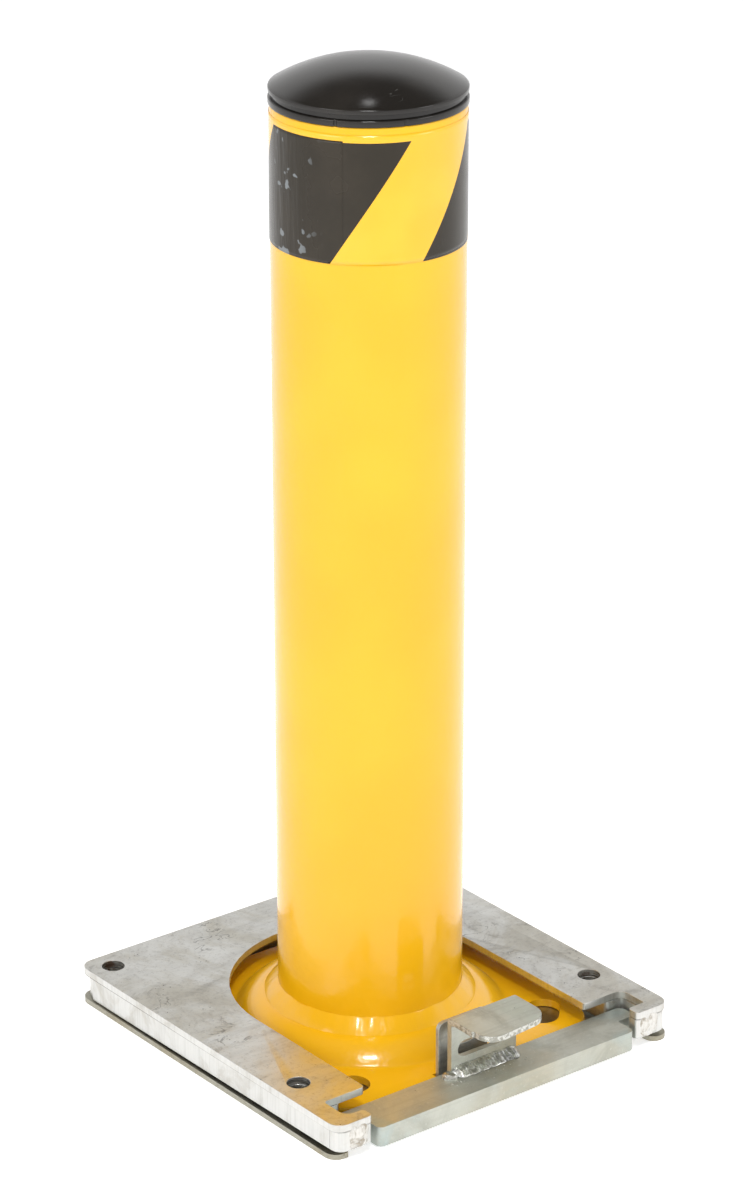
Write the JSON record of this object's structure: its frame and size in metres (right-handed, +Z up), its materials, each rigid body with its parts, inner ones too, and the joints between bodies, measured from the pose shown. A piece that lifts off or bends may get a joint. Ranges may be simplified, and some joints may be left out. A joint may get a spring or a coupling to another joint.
{
  "type": "removable safety bollard",
  "caption": "Removable steel safety bollard: yellow post with striped band and cap, on a flange held in a ground receiver by a drop-in lock bar.",
  "frame": {"origin": "on the ground, on the post's axis", "axes": "+Z up along the post, -Y towards the lock bar, +X to the right seen from the lock bar"},
  "size_m": [0.258, 0.2752, 0.6137],
  "materials": {
    "yellow_paint": "glossy safety yellow powder coat with fine orange peel",
    "bare_steel": "pale mill-finish plated steel with brown-grey smudges and fine streaks",
    "zinc_plate": "olive-grey zinc plate with bright cut edges",
    "weld_metal": "silvery plated weld bead, rippled and spattered",
    "tape_film": "yellow film with slanted black stripes, semi-gloss and a little scuffed",
    "cap_plastic": "black moulded plastic with a satin surface"
  },
  "bodies": {
    "receiver": {"floor_plate": "bare_steel", "left_rail": "bare_steel", "right_rail": "bare_steel", "rear_rail": "bare_steel", "left_hook_block": "bare_steel", "right_hook_block": "bare_steel", "top_plate": "bare_steel", "left_hook_weld": "weld_metal", "right_hook_weld": "weld_metal"},
    "bollard": {"base_flange": "yellow_paint", "post_tube": "yellow_paint", "post_weld": "yellow_paint", "stripe_tape": "tape_film", "padlock_tab": "zinc_plate", "tab_weld": "weld_metal"},
    "cap": {"cap_plug": "cap_plastic", "cap_lid": "cap_plastic"},
    "lock": {"lock_bar": "zinc_plate", "lock_bracket": "zinc_plate", "bracket_weld": "weld_metal", "bracket_end_weld": "weld_metal"}
  },
  "joints": [
    {"name": "bollard_slide", "type": "slide", "parent": "receiver", "child": "bollard", "axis": [0, -1, 0], "range_m": [0, 0.21]},
    {"name": "lock_lift", "type": "slide", "parent": "bollard", "child": "lock", "axis": [0, 0, 1], "range_m": [0, 0.84]},
    {"name": "cap_lift", "type": "slide", "parent": "bollard", "child": "cap", "axis": [0, 0, 1], "range_m": [0, 0.08]}
  ],
  "couplings": [
    {"joint": "lock_lift", "follows": "bollard_slide", "ratio": 4}
  ]
}
